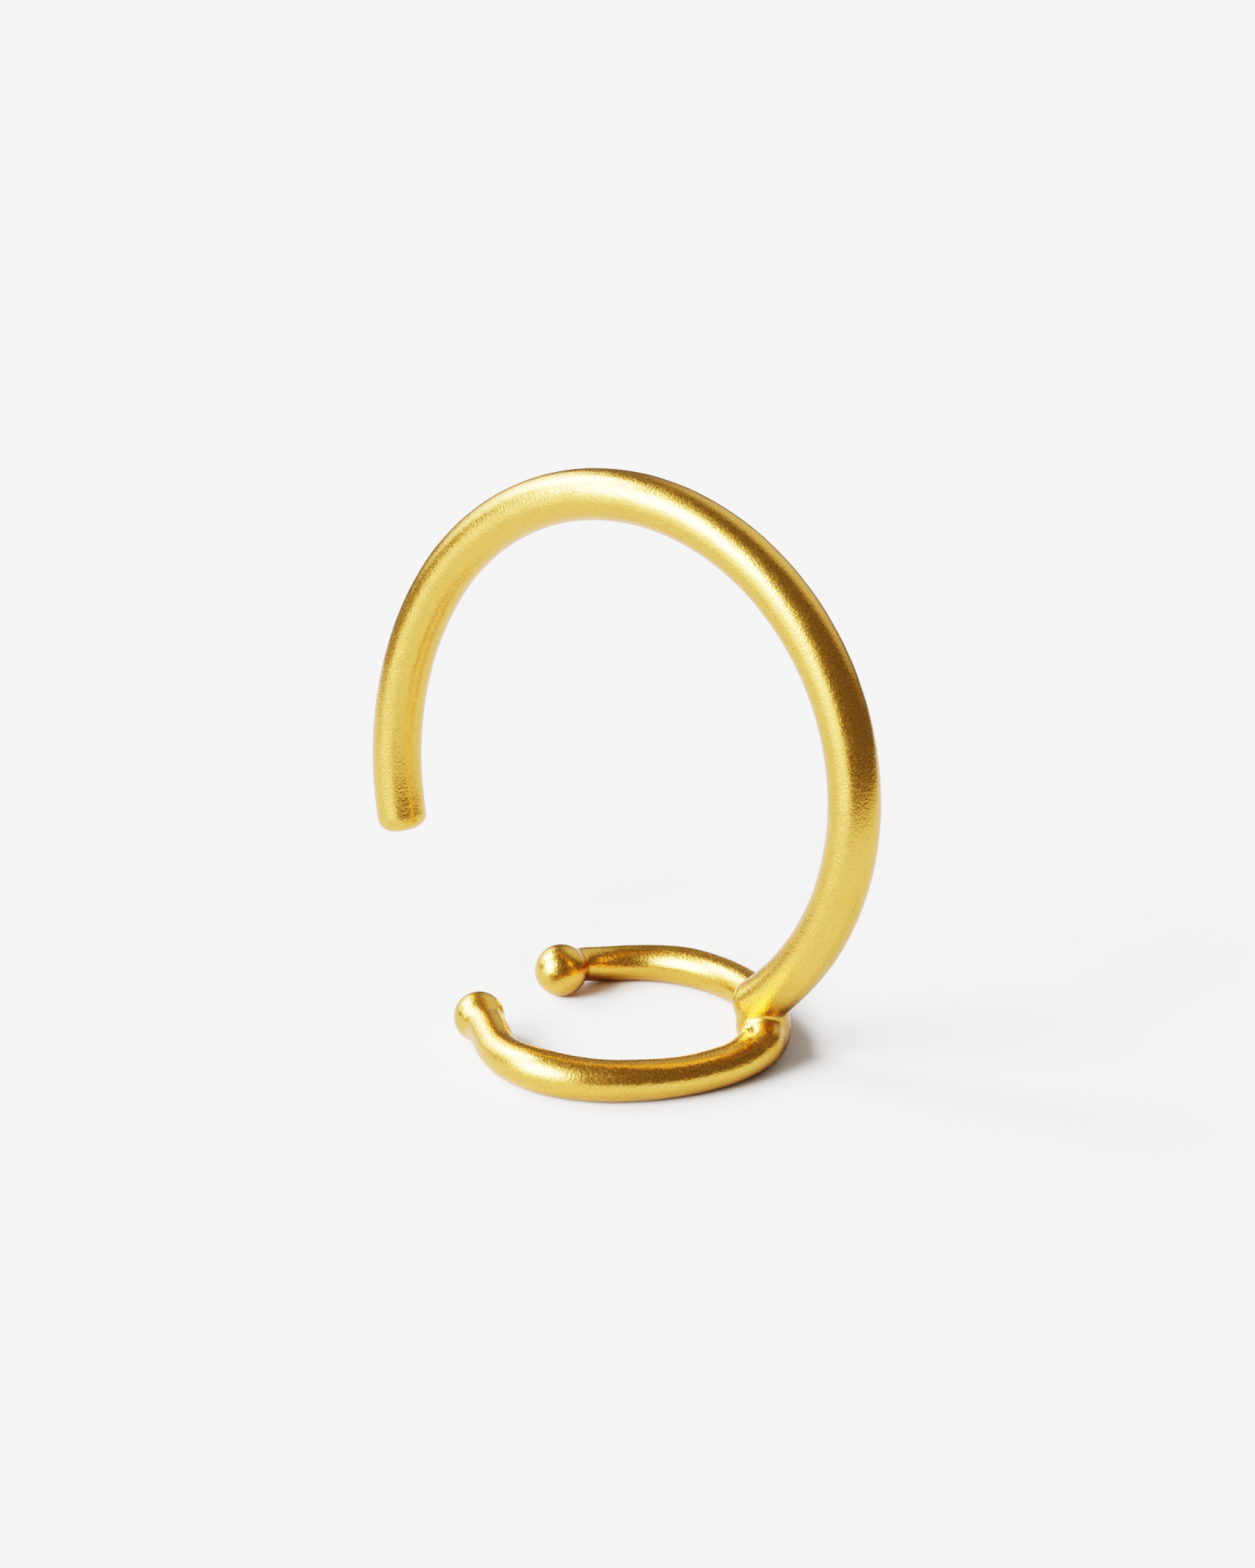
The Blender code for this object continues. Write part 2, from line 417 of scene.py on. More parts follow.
def hoop_path(hoop, ring, solder):
    """Hoop's centreline from its soldered foot over the top to its free end."""
    start = hoop.foot_angle - hoop.foot_overhang / hoop.radius
    angles = np.linspace(start, hoop.free_angle, PATH_STEPS + 1)
    centre = hoop_foot(hoop, ring, solder) - hoop_arm(hoop, hoop.foot_angle)[0]
    return centre + hoop_arm(hoop, angles)


def ring_path(ring):
    """Clip ring's centreline from the front ball's centre to the back one's, and its radii."""
    angles = np.linspace(ring.front_angle, ring.back_angle, PATH_STEPS + 1)
    return ring_points(ring, angles), ring_wire_radius(ring, angles)


def path_lengths(path):
    """Length along a path at each of its points."""
    return np.concatenate([[0.0], np.cumsum(np.linalg.norm(np.diff(path, axis=0), axis=1))])


class NodeLine:
    """Adds nodes to a tree, each with its values and links given in one call."""

    def __init__(self, tree):
        self.tree = tree

    def add(self, kind, inputs=None, **settings):
        node = self.tree.nodes.new(kind)
        for name, value in settings.items():
            setattr(node, name, value)
        for key, value in (inputs or {}).items():
            socket = node.inputs[key]
            if isinstance(value, bpy.types.NodeSocket):
                self.tree.links.new(value, socket)
            else:
                socket.default_value = value
        return node

    def math(self, operation, *values):
        return self.add("ShaderNodeMath", dict(enumerate(values)), operation=operation).outputs[0]


def bent_wire_tree():
    """Geometry Nodes that sweep a round wire along a path, with rounded or balled ends."""
    old = bpy.data.node_groups.get("Bent Wire")
    if old:
        return old
    tree = bpy.data.node_groups.new("Bent Wire", "GeometryNodeTree")
    face = tree.interface
    face.new_socket("Path", in_out="INPUT", socket_type="NodeSocketGeometry")
    for name, value in (
        ("Wire", 1.0 * MM), ("Start Round", 0.3 * MM), ("End Round", 0.3 * MM),
        ("Start Ball", 0.0), ("End Ball", 0.0),
    ):
        socket = face.new_socket(name, in_out="INPUT", socket_type="NodeSocketFloat")
        socket.subtype = "DISTANCE"
        socket.default_value = value
    for name, value in (("Sections", 500), ("Sides", 64)):
        socket = face.new_socket(name, in_out="INPUT", socket_type="NodeSocketInt")
        socket.default_value = value
    face.new_socket("Material", in_out="INPUT", socket_type="NodeSocketMaterial")
    face.new_socket("Wire Mesh", in_out="OUTPUT", socket_type="NodeSocketGeometry")

    line = NodeLine(tree)
    given = line.add("NodeGroupInput").outputs
    curve = line.add("GeometryNodeMeshToCurve", {"Mesh": given["Path"]}).outputs["Curve"]
    curve = line.add(
        "GeometryNodeResampleCurve", {"Curve": curve, "Count": given["Sections"]}
    ).outputs["Curve"]
    taper = line.add(
        "GeometryNodeInputNamedAttribute", {"Name": "taper"}, data_type="FLOAT"
    ).outputs["Attribute"]
    radius = line.math("MULTIPLY", line.math("MULTIPLY", given["Wire"], 0.5), taper)
    way = line.add("GeometryNodeSplineParameter").outputs["Length"]
    whole = line.add("GeometryNodeSplineLength").outputs["Length"]
    back = line.math("SUBTRACT", whole, way)
    for depth, rounding, ball in (
        (way, given["Start Round"], given["Start Ball"]),
        (back, given["End Round"], given["End Ball"]),
    ):
        inside = line.math("MAXIMUM", line.math("SUBTRACT", rounding, depth), 0.0)
        square = line.math("MULTIPLY", rounding, rounding)
        left = line.math("SUBTRACT", square, line.math("MULTIPLY", inside, inside))
        cut = line.math("SUBTRACT", rounding, line.math("SQRT", line.math("MAXIMUM", left, 0.0)))
        radius = line.math("SUBTRACT", radius, cut)
        half = line.math("MULTIPLY", ball, 0.5)
        off = line.math("SUBTRACT", depth, half)
        square = line.math("MULTIPLY", half, half)
        left = line.math("SUBTRACT", square, line.math("MULTIPLY", off, off))
        sphere = line.math("SQRT", line.math("MAXIMUM", left, 0.0))
        past = line.math("GREATER_THAN", depth, half)
        radius = line.math("MAXIMUM", line.math("MULTIPLY", radius, past), sphere)
    circle = line.add(
        "GeometryNodeCurvePrimitiveCircle", {"Resolution": given["Sides"], "Radius": 1.0}
    )
    swept = line.add(
        "GeometryNodeCurveToMesh",
        {
            "Curve": curve, "Profile Curve": circle.outputs["Curve"], "Scale": radius,
            "Fill Caps": True,
        },
    ).outputs["Mesh"]
    smooth = line.add("GeometryNodeSetShadeSmooth", {"Geometry": swept}).outputs["Geometry"]
    real = line.add("GeometryNodeRealizeInstances", {"Geometry": smooth}).outputs["Geometry"]
    final = line.add(
        "GeometryNodeSetMaterial", {"Geometry": real, "Material": given["Material"]}
    ).outputs["Geometry"]
    line.add("NodeGroupOutput", {"Wire Mesh": final})
    return tree


def bend_wire(name, path, taper, sizes):
    """Plain mesh of a wire: the path goes through the Bent Wire nodes."""
    mesh = bpy.data.meshes.new(name + "_path")
    steps = [(k, k + 1) for k in range(len(path) - 1)]
    mesh.from_pydata([tuple(point) for point in path], steps, [])
    share = mesh.attributes.new("taper", "FLOAT", "POINT")
    share.data.foreach_set("value", np.asarray(taper, np.float32))
    guide = bpy.data.objects.new(name + "_guide", mesh)
    bpy.context.collection.objects.link(guide)
    bend = guide.modifiers.new("Bent Wire", "NODES")
    bend.node_group = bent_wire_tree()
    sockets = {item.name: item.identifier for item in bend.node_group.interface.items_tree}
    for key, value in sizes.items():
        bend[sockets[key]] = value
    evaluated = guide.evaluated_get(bpy.context.evaluated_depsgraph_get())
    result = bpy.data.meshes.new_from_object(evaluated)
    result.name = name
    guide.modifiers.clear()
    bpy.data.objects.remove(guide, do_unlink=True)
    bpy.data.meshes.remove(mesh)
    if len(result.polygons) < LEAST_FACES:
        raise RuntimeError(name + " was not swept")
    wire = bpy.data.objects.new(name, result)
    bpy.context.collection.objects.link(wire)
    return wire


def smooth_union(one, other, blend):
    """Lower of two distances, with a fillet where they meet."""
    meet = np.maximum(blend - np.abs(one - other), 0.0) / blend
    return np.minimum(one, other) - meet**2 * blend / 4


class PinShape:
    """The pin as a distance from its skin, in millimetres: wires, balls and solder."""

    def __init__(self, hoop, ring, solder):
        self.hoop_line = hoop_path(hoop, ring, solder) / MM
        self.hoop_lengths = path_lengths(self.hoop_line)
        self.hoop_radius = hoop.wire / 2 / MM
        self.foot_round = hoop.foot_round / MM
        self.free_round = hoop.free_round / MM
        line, radii = ring_path(ring)
        self.ring_line = line / MM
        self.ring_lengths = path_lengths(self.ring_line)
        self.ring_radii = radii / MM
        self.balls = (
            (self.ring_line[0], ring.front_ball / 2 / MM),
            (self.ring_line[-1], ring.back_ball / 2 / MM),
        )
        self.neck = ring.neck / MM
        self.fillet = solder.fillet / MM
        foot = hoop_foot(hoop, ring, solder) / MM
        base = ring_points(ring, solder.angle)[0] / MM
        self.bead_centre = foot + (base - foot) * solder.place
        self.bead_axes = np.array(joint_axes(solder))
        self.bead_radii = np.array([
            ring.wire / 2 + solder.by_ring, hoop.wire / 2 + solder.by_hoop, solder.height / 2,
        ]) / MM
        self.lumps = (
            (np.array(LUMP_CENTRE), solder.shoulder / MM, LUMP_BLEND),
            (np.array(DROP_CENTRE), DROP_RADIUS, DROP_BLEND),
        )

    def nearest(self, points):
        """Index of the nearest point of each line, found once for points that then move little."""
        found = []
        for line in (self.hoop_line, self.ring_line):
            tree = KDTree(len(line))
            for number, point in enumerate(line):
                tree.insert(point, number)
            tree.balance()
            found.append(np.array([tree.find(point)[1] for point in points]))
        return found

    @staticmethod
    def place(points, line, lengths, near, endless):
        """Length along a line and distance from it, for points near the given places."""
        best = np.full(len(points), np.inf)
        along = np.zeros(len(points))
        for shift in (-3, -2, -1, 0, 1, 2):
            start = np.clip(near + shift, 0, len(line) - 2)
            step = line[start + 1] - line[start]
            share = ((points - line[start]) * step).sum(1) / (step**2).sum(1)
            low = np.where(endless & (start == 0), -np.inf, 0.0)
            high = np.where(endless & (start == len(line) - 2), np.inf, 1.0)
            share = np.clip(share, low, high)
            away = np.linalg.norm(points - line[start] - step * share[:, None], axis=1)
            here = lengths[start] + share * np.linalg.norm(step, axis=1)
            closer = away < best
            best = np.where(closer, away, best)
            along = np.where(closer, here, along)
        return along, best

    def hoop(self, points, near):
        """Distance from the hoop's wire, with its rounded ends."""
        along, away = self.place(points, self.hoop_line, self.hoop_lengths, near, True)
        whole = self.hoop_lengths[-1]
        radius = self.hoop_radius * along_table(HOOP_TAPER, along / whole)
        at_foot = along < whole / 2
        rounding = np.where(at_foot, self.foot_round, self.free_round)
        past = rounding - np.where(at_foot, along, whole - along)
        side = away - (radius - rounding)
        outside = np.hypot(np.maximum(side, 0.0), np.maximum(past, 0.0))
        return outside + np.minimum(np.maximum(side, past), 0.0) - rounding

    def ring(self, points, near):
        """Distance from the ring's wire and its balls."""
        along, away = self.place(points, self.ring_line, self.ring_lengths, near, False)
        value = away - np.interp(along, self.ring_lengths, self.ring_radii)
        for centre, radius in self.balls:
            ball = np.linalg.norm(points - centre, axis=1) - radius
            value = smooth_union(value, ball, self.neck)
        return value

    def bead(self, points):
        """Distance from the bead of solder between the wires."""
        local = (points - self.bead_centre) @ self.bead_axes.T / self.bead_radii
        size = np.linalg.norm(local, axis=1)
        slope = np.linalg.norm(local / self.bead_radii, axis=1)
        return size * (size - 1.0) / np.maximum(slope, 1e-6)

    def distance(self, points, near):
        """Distance from the whole skin, with the solder's fillets, lumps and pinhole."""
        skin = smooth_union(self.hoop(points, near[0]), self.ring(points, near[1]), self.fillet)
        skin = smooth_union(skin, self.bead(points), self.fillet)
        for centre, radius, blend in self.lumps:
            skin = smooth_union(skin, np.linalg.norm(points - centre, axis=1) - radius, blend)
        offset = points - PINHOLE_CENTRE
        aside = np.linalg.norm(np.cross(offset, PINHOLE_AXIS), axis=1)
        near_hole = np.linalg.norm(offset, axis=1) < PINHOLE_REACH
        return skin + DENT_DEPTH * np.exp(-0.5 * (aside / DENT_SPREAD) ** 2) * near_hole

    def solder_share(self, points, near):
        """How much of the skin at each point is solder and not wire."""
        bare = np.minimum(self.hoop(points, near[0]), self.ring(points, near[1]))
        return ease(bare / SOLDER_EDGE)

    def settle(self, points, near, rounds):
        """Move points on to the skin, and give the skin's direction at each."""
        for _ in range(rounds):
            here = self.distance(points, near)
            slope = np.empty_like(points)
            for axis in range(3):
                shift = np.zeros(3)
                shift[axis] = SLOPE_STEP
                ahead = self.distance(points + shift, near)
                behind = self.distance(points - shift, near)
                slope[:, axis] = (ahead - behind) / (2 * SLOPE_STEP)
            size = np.maximum((slope**2).sum(1), LEAST_SLOPE)
            points = points - slope * (here / size)[:, None]
        return points, slope / np.sqrt(size)[:, None]


def even_out(points, edges, share):
    """Draw every point towards the middle of its neighbours."""
    total = np.zeros_like(points)
    count = np.zeros(len(points))
    for one, other in ((0, 1), (1, 0)):
        np.add.at(total, edges[:, one], points[edges[:, other]])
        np.add.at(count, edges[:, one], 1.0)
    return points + (total / count[:, None] - points) * share


def solder_wires(hoop_wire, ring_wire, settings):
    """One smooth skin over both wires and the solder, as a plain mesh in metres."""
    sizes = settings.nose_pin_solder
    shape = PinShape(settings.nose_pin_hoop, settings.nose_pin_ring, sizes)
    bpy.ops.mesh.primitive_uv_sphere_add(segments=48, ring_count=24, radius=1.0)
    bead = bpy.context.object
    turn = Matrix([list(axis) for axis in shape.bead_axes]).transposed().to_4x4()
    stretch = Matrix.Diagonal((*shape.bead_radii, 1.0))
    bead.data.transform(Matrix.Translation(Vector(shape.bead_centre)) @ turn @ stretch)
    for wire in (hoop_wire, ring_wire):
        wire.data.transform(Matrix.Diagonal((1 / MM, 1 / MM, 1 / MM, 1.0)))
    parts = [bead, hoop_wire, ring_wire]
    with bpy.context.temp_override(active_object=bead, selected_editable_objects=parts):
        bpy.ops.object.join()
    skin = bead.modifiers.new("Skin", "REMESH")
    skin.mode = "VOXEL"
    skin.voxel_size = sizes.cell / MM
    evaluated = bead.evaluated_get(bpy.context.evaluated_depsgraph_get())
    fused = bpy.data.meshes.new_from_object(evaluated)
    bpy.data.objects.remove(bead, do_unlink=True)
    if len(fused.vertices) < LEAST_POINTS:
        raise RuntimeError("the wires were not fused")

    points = np.empty(len(fused.vertices) * 3)
    fused.vertices.foreach_get("co", points)
    points = points.reshape(-1, 3)
    edges = np.empty(len(fused.edges) * 2, np.int64)
    fused.edges.foreach_get("vertices", edges)
    edges = edges.reshape(-1, 2)
    near = shape.nearest(points)
    points, slope = shape.settle(points, near, 3)
    for _ in range(3):
        points, slope = shape.settle(even_out(points, edges, EVENING), near, 1)
    points, slope = shape.settle(points, near, 2)
    share = shape.solder_share(points, near)
    wave = np.array([
        noise.noise(point / LONG_WAVE) + SHORT_HEIGHT * noise.noise(point / SHORT_WAVE)
        for point in map(Vector, points)
    ])
    points = points + slope * (wave * sizes.waviness / MM)[:, None]
    points = np.clip(points * MM, *CAD_BOX)
    fused.vertices.foreach_set("co", points.ravel())
    soldered = fused.attributes.new("solder", "FLOAT", "POINT")
    soldered.data.foreach_set("value", share.astype(np.float32))
    fused.update()
    return fused


def shader_group(name, inputs, outputs):
    """Empty shader group with its sockets, and the line that adds nodes to it."""
    group = bpy.data.node_groups.new(name, "ShaderNodeTree")
    for label, kind, value in inputs:
        socket = group.interface.new_socket(label, in_out="INPUT", socket_type=kind)
        if value is not None:
            socket.default_value = value
    for label, kind in outputs:
        group.interface.new_socket(label, in_out="OUTPUT", socket_type=kind)
    return group, NodeLine(group)


def satin_group():
    """Fine blasted grain of satin metal, with broad soft patches."""
    group, line = shader_group(
        "Satin Grain",
        (
            ("Vector", "NodeSocketVector", None),
            ("Grain", "NodeSocketFloat", 0.035 * MM),
            ("Patch", "NodeSocketFloat", 0.9 * MM),
        ),
        (
            ("Height", "NodeSocketFloat"),
            ("Speck", "NodeSocketFloat"),
            ("Patch", "NodeSocketFloat"),
        ),
    )
    given = line.add("NodeGroupInput").outputs
    fine_scale = line.math("DIVIDE", 1.0, given["Grain"])
    patch_scale = line.math("DIVIDE", 1.0, given["Patch"])
    fine = line.add(
        "ShaderNodeTexNoise",
        {"Vector": given["Vector"], "Scale": fine_scale, "Detail": 2.0, "Roughness": 0.6},
    ).outputs["Fac"]
    pits = line.add(
        "ShaderNodeTexVoronoi",
        {"Vector": given["Vector"], "Scale": line.math("MULTIPLY", fine_scale, 0.8)},
        feature="SMOOTH_F1",
    ).outputs["Distance"]
    height = line.math("ADD", fine, line.math("MULTIPLY", pits, 0.5))
    speck = line.add(
        "ShaderNodeMapRange", {"Value": fine, "From Min": 0.35, "From Max": 0.65}
    ).outputs["Result"]
    broad = line.add(
        "ShaderNodeTexNoise",
        {"Vector": given["Vector"], "Scale": patch_scale, "Detail": 3.0, "Roughness": 0.55},
    ).outputs["Fac"]
    patch = line.add(
        "ShaderNodeMapRange", {"Value": broad, "From Min": 0.32, "From Max": 0.68},
        interpolation_type="SMOOTHSTEP",
    ).outputs["Result"]
    line.add("NodeGroupOutput", {"Height": height, "Speck": speck, "Patch": patch})
    return group


def satin_gold(finish):
    """Satin gold: yellow, finely blasted, warmer and rougher on the solder, with shade painted
    dark into the pinhole.
    """
    gold = bpy.data.materials.new("satin_gold")
    gold.use_nodes = True
    gold.node_tree.nodes.clear()
    line = NodeLine(gold.node_tree)
    where = line.add("ShaderNodeTexCoord").outputs["Object"]
    grain = line.add("ShaderNodeGroup", node_tree=satin_group())
    gold.node_tree.links.new(where, grain.inputs["Vector"])
    grain.inputs["Grain"].default_value = finish.grain
    solder = line.add("ShaderNodeAttribute", attribute_name="solder").outputs["Fac"]
    warm = line.math("MULTIPLY", grain.outputs["Patch"], PATCH_WARMTH)
    warm = line.math("MAXIMUM", warm, line.math("MULTIPLY", solder, SOLDER_WARMTH))
    colour = line.add(
        "ShaderNodeMix",
        {"Factor": warm, "A": (*finish.colour, 1.0), "B": (*finish.warm_colour, 1.0)},
        data_type="RGBA",
    ).outputs["Result"]
    # Painted shade: round the pinhole's axis the colour is mixed towards near black, darkest at
    # its middle, standing in for the shade inside it
    centre = tuple(value * MM for value in PINHOLE_CENTRE)
    offset = line.add(
        "ShaderNodeVectorMath", {0: where, 1: centre}, operation="SUBTRACT"
    ).outputs["Vector"]
    aside = line.add(
        "ShaderNodeVectorMath", {0: offset, 1: PINHOLE_AXIS}, operation="CROSS_PRODUCT"
    ).outputs["Vector"]
    away = line.add("ShaderNodeVectorMath", {0: aside}, operation="LENGTH").outputs["Value"]
    deep = line.add("ShaderNodeVectorMath", {0: offset}, operation="LENGTH").outputs["Value"]
    pinhole_shade = line.add(
        "ShaderNodeMapRange",
        {
            "Value": away, "From Min": PAINTED_SHADE_RADIUS * MM, "From Max": PAINTED_SHADE_FADE * MM,
            "To Min": PAINTED_SHADE_SHARE, "To Max": 0.0,
        },
        interpolation_type="SMOOTHSTEP",
    ).outputs["Result"]
    pinhole_shade = line.math("MULTIPLY", pinhole_shade, line.math("LESS_THAN", deep, PINHOLE_REACH * MM))
    colour = line.add(
        "ShaderNodeMix", {"Factor": pinhole_shade, "A": colour, "B": PINHOLE_SHADE_COLOUR}, data_type="RGBA"
    ).outputs["Result"]
    tone = line.math("MULTIPLY_ADD", grain.outputs["Speck"], SPECK_TONE, 1.0 - SPECK_TONE / 2)
    colour = line.add(
        "ShaderNodeVectorMath", {0: colour, "Scale": tone}, operation="SCALE"
    ).outputs["Vector"]
    smoothest = finish.roughness - (SPECK_ROUGHNESS + PATCH_ROUGHNESS) / 2
    rough = line.math("MULTIPLY_ADD", grain.outputs["Speck"], SPECK_ROUGHNESS, smoothest)
    rough = line.math("MULTIPLY_ADD", grain.outputs["Patch"], PATCH_ROUGHNESS, rough)
    rough = line.math("MULTIPLY_ADD", solder, SOLDER_ROUGHNESS, rough)
    bump = line.add(
        "ShaderNodeBump",
        {"Strength": 1.0, "Distance": finish.grain_depth, "Height": grain.outputs["Height"]},
    )
    shader = line.add(
        "ShaderNodeBsdfPrincipled",
        {
            "Base Color": colour, "Metallic": 1.0, "Roughness": rough,
            "Normal": bump.outputs["Normal"],
        },
    )
    line.add("ShaderNodeOutputMaterial", {"Surface": shader.outputs["BSDF"]})
    return gold


class NOSEPIN_OT_bend_hoop(bpy.types.Operator):
    """Bend the open hoop with its soldered foot and rounded free end"""

    bl_idname = "nose_pin.bend_hoop"
    bl_label = "Bend Hoop"

    def execute(self, context):
        scene = context.scene
        hoop = scene.nose_pin_hoop
        path = hoop_path(hoop, scene.nose_pin_ring, scene.nose_pin_solder)
        lengths = path_lengths(path)
        taper = along_table(HOOP_TAPER, lengths / lengths[-1])
        sizes = {"Wire": hoop.wire, "Start Round": hoop.foot_round, "End Round": hoop.free_round}
        bend_wire("hoop_wire", path, taper, sizes)
        return {"FINISHED"}


class NOSEPIN_OT_bend_clip_ring(bpy.types.Operator):
    """Bend the clip ring with its two ball ends"""

    bl_idname = "nose_pin.bend_clip_ring"
    bl_label = "Bend Clip Ring"

    def execute(self, context):
        ring = context.scene.nose_pin_ring
        path, radii = ring_path(ring)
        forth = path[0] - path[1]
        aft = path[-1] - path[-2]
        front = path[0] + forth / np.linalg.norm(forth) * ring.front_ball / 2
        back = path[-1] + aft / np.linalg.norm(aft) * ring.back_ball / 2
        path = np.vstack([front, path, back])
        taper = np.concatenate([[radii[0]], radii, [radii[-1]]]) / (ring.wire / 2)
        sizes = {
            "Wire": ring.wire, "Start Round": 0.0, "End Round": 0.0,
            "Start Ball": ring.front_ball, "End Ball": ring.back_ball, "Sections": 420,
        }
        bend_wire("ring_wire", path, taper, sizes)
        return {"FINISHED"}


class NOSEPIN_OT_solder(bpy.types.Operator):
    """Solder the hoop's foot on the clip ring and give the pin its satin gold"""

    bl_idname = "nose_pin.solder"
    bl_label = "Solder and Gild"

    def execute(self, context):
        hoop_wire = bpy.data.objects.get("hoop_wire")
        ring_wire = bpy.data.objects.get("ring_wire")
        if hoop_wire is None or ring_wire is None:
            raise RuntimeError("bend the hoop and the clip ring first")
        mesh = solder_wires(hoop_wire, ring_wire, context.scene)
        mesh.name = "gold_pin"
        mesh.materials.clear()
        mesh.materials.append(satin_gold(context.scene.nose_pin_finish))
        mesh.shade_smooth()
        pin = bpy.data.objects.new("gold_pin", mesh)
        context.collection.objects.link(pin)
        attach(pin, "root")
        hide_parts(NODE)
        return {"FINISHED"}


# Soft lights, all to the left but for a weak one behind on the right. The rows came from a
# least-squares fit to the gold's brightness in the photograph and were then adjusted:
# (azimuth from the camera, elevation, reach, strength)
SOFT_LIGHTS = (
    (-56.0, 27.0, 19.0, 10.5),
    (-74.0, 36.0, 19.0, 6.5),
    (-116.0, 42.0, 16.0, 12.0),
    (-144.0, 27.0, 19.0, 1.4),
    (-121.0, 19.0, 19.0, 1.0),
    (-63.0, 35.0, 38.0, 0.5),
    (-52.0, 2.0, 38.0, 0.9),
    (141.0, 33.0, 38.0, 0.22),
)
TENT_TONE = 0.045

# Brightness at which the camera sees the tent, and that of the paper in the gold as a share of it
WHITE = 2.96
MIRRORED_TONE = 0.52


def tent_world(studio):
    """A plain white tent with a few soft lights, all far away."""
    world = bpy.data.worlds.new("light_tent")
    world.use_nodes = True
    world.node_tree.nodes.clear()
    line = NodeLine(world.node_tree)
    where = line.add("ShaderNodeTexCoord").outputs["Generated"]
    total = TENT_TONE
    for azimuth, elevation, reach, strength in SOFT_LIGHTS:
        turn = studio.camera_azimuth + math.radians(azimuth)
        level = math.radians(elevation)
        flat = math.cos(level)
        towards = (math.sin(turn) * flat, -math.cos(turn) * flat, math.sin(level))
        facing = line.add("ShaderNodeVectorMath", {0: where, 1: towards}, operation="DOT_PRODUCT")
        light = line.add(
            "ShaderNodeMapRange",
            {
                "Value": facing.outputs["Value"], "From Min": math.cos(math.radians(reach)),
                "From Max": 1.0, "To Max": strength,
            },
            interpolation_type="SMOOTHSTEP",
        ).outputs["Result"]
        total = line.math("ADD", light, total)
    total = line.math("MULTIPLY", total, studio.light)
    seen = line.add("ShaderNodeLightPath").outputs["Is Camera Ray"]
    shown = line.add("ShaderNodeMix", {"Factor": seen, "A": total, "B": WHITE}, data_type="FLOAT")
    back = line.add("ShaderNodeBackground", {"Color": shown.outputs["Result"]})
    line.add("ShaderNodeOutputWorld", {"Surface": back.outputs["Background"]})
    return world


def floor_material(studio):
    """Matt pale paper, mirrored by the gold less bright than the overexposed camera sees it."""
    paper = bpy.data.materials.new("pale_floor")
    paper.use_nodes = True
    shader = paper.node_tree.nodes["Principled BSDF"]
    shader.inputs["Roughness"].default_value = 1.0
    shader.inputs["Specular IOR Level"].default_value = 0.0
    line = NodeLine(paper.node_tree)
    mirrored = line.add("ShaderNodeLightPath").outputs["Is Glossy Ray"]
    dim = tuple(MIRRORED_TONE * value for value in studio.floor_colour)
    colour = line.add(
        "ShaderNodeMix", {"Factor": mirrored, "A": (*studio.floor_colour, 1.0), "B": (*dim, 1.0)},
        data_type="RGBA",
    ).outputs["Result"]
    paper.node_tree.links.new(colour, shader.inputs["Base Color"])
    return paper


def camera_object(studio):
    """Camera at the photograph's viewing angle, aimed so that the wires lie as in its frame."""
    azimuth, elevation = studio.camera_azimuth, studio.camera_elevation
    distance = studio.camera_distance
    back = Vector((
        math.sin(azimuth) * math.cos(elevation),
        -math.cos(azimuth) * math.cos(elevation),
        math.sin(elevation),
    ))
    right = Vector((math.cos(azimuth), math.sin(azimuth), 0.0))
    up = back.cross(right)
    aside = (DRAWING_ACROSS - FRAME_WIDTH / 2) * distance / FOCAL_LENGTH
    above = (FRAME_HEIGHT / 2 - DRAWING_DOWN) * distance / FOCAL_LENGTH
    data = bpy.data.cameras.new("camera")
    data.sensor_width = 36.0
    data.lens = FOCAL_LENGTH / FRAME_HEIGHT * data.sensor_width
    data.clip_start = 1.0 * MM
    data.clip_end = 100.0
    camera = bpy.data.objects.new("camera", data)
    place = Vector(DRAWING_PLACE) + back * distance - right * aside - up * above
    turn = Matrix((right, up, back)).transposed().to_4x4()
    camera.matrix_world = Matrix.Translation(place) @ turn
    return camera


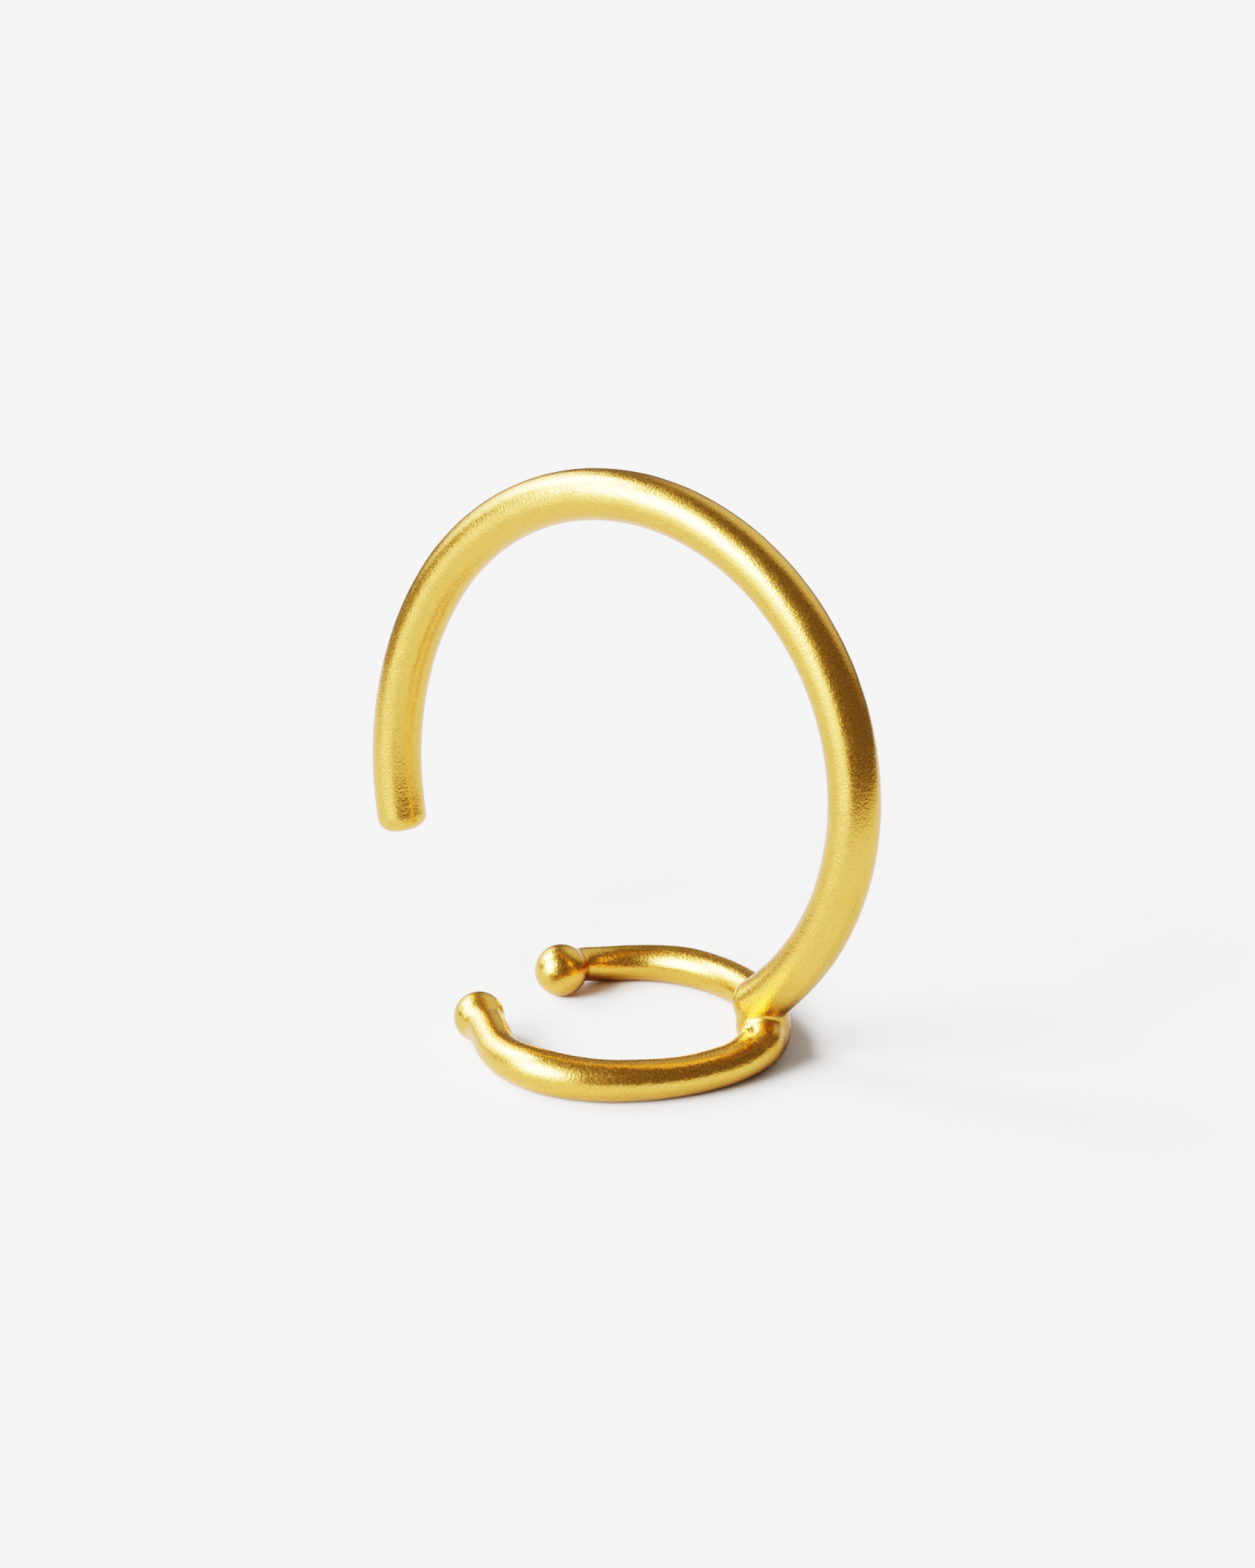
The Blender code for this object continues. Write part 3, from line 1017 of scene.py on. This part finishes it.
class NOSEPIN_OT_set_stage(bpy.types.Operator):
    """Set the pale floor, the light tent and the camera"""

    bl_idname = "nose_pin.set_stage"
    bl_label = "Set Stage"

    def execute(self, context):
        studio = context.scene.nose_pin_studio
        bpy.ops.mesh.primitive_circle_add(
            vertices=128, radius=studio.floor_radius, fill_type="NGON"
        )
        floor = context.object
        floor.name = "floor"
        floor.data.materials.append(floor_material(studio))
        context.scene.world = tent_world(studio)
        camera = camera_object(studio)
        context.collection.objects.link(camera)
        context.scene.camera = camera
        context.scene.view_settings.view_transform = "Filmic"
        context.scene.view_settings.look = "High Contrast"
        return {"FINISHED"}


class NOSEPIN_PT_panel(bpy.types.Panel):
    """Sizes, finish and stage of the nose pin"""

    bl_label = "Nose Pin"
    bl_idname = "NOSEPIN_PT_panel"
    bl_space_type = "VIEW_3D"
    bl_region_type = "UI"
    bl_category = "Nose Pin"

    def draw(self, context):
        scene = context.scene
        for title, settings, operator in (
            ("Hoop", scene.nose_pin_hoop, NOSEPIN_OT_bend_hoop),
            ("Clip Ring", scene.nose_pin_ring, NOSEPIN_OT_bend_clip_ring),
            ("Solder", scene.nose_pin_solder, None),
            ("Finish", scene.nose_pin_finish, NOSEPIN_OT_solder),
            ("Studio", scene.nose_pin_studio, NOSEPIN_OT_set_stage),
        ):
            box = self.layout.box()
            box.label(text=title)
            for name in settings.__annotations__:
                box.prop(settings, name)
            if operator:
                box.operator(operator.bl_idname)


CLASSES = (
    HoopSizes,
    ClipRingSizes,
    SolderSizes,
    GoldFinish,
    StudioSettings,
    NOSEPIN_OT_bend_hoop,
    NOSEPIN_OT_bend_clip_ring,
    NOSEPIN_OT_solder,
    NOSEPIN_OT_set_stage,
    NOSEPIN_PT_panel,
)
SETTINGS = {
    "nose_pin_hoop": HoopSizes,
    "nose_pin_ring": ClipRingSizes,
    "nose_pin_solder": SolderSizes,
    "nose_pin_finish": GoldFinish,
    "nose_pin_studio": StudioSettings,
}


def register():
    for item in CLASSES:
        bpy.utils.register_class(item)
    for name, group in SETTINGS.items():
        setattr(bpy.types.Scene, name, PointerProperty(type=group))


def unregister():
    for name in SETTINGS:
        delattr(bpy.types.Scene, name)
    for item in reversed(CLASSES):
        bpy.utils.unregister_class(item)


def main():
    register()
    bpy.ops.nose_pin.bend_hoop()
    bpy.ops.nose_pin.bend_clip_ring()
    bpy.ops.nose_pin.solder()
    bpy.ops.nose_pin.set_stage()


if __name__ == "__main__":
    main()
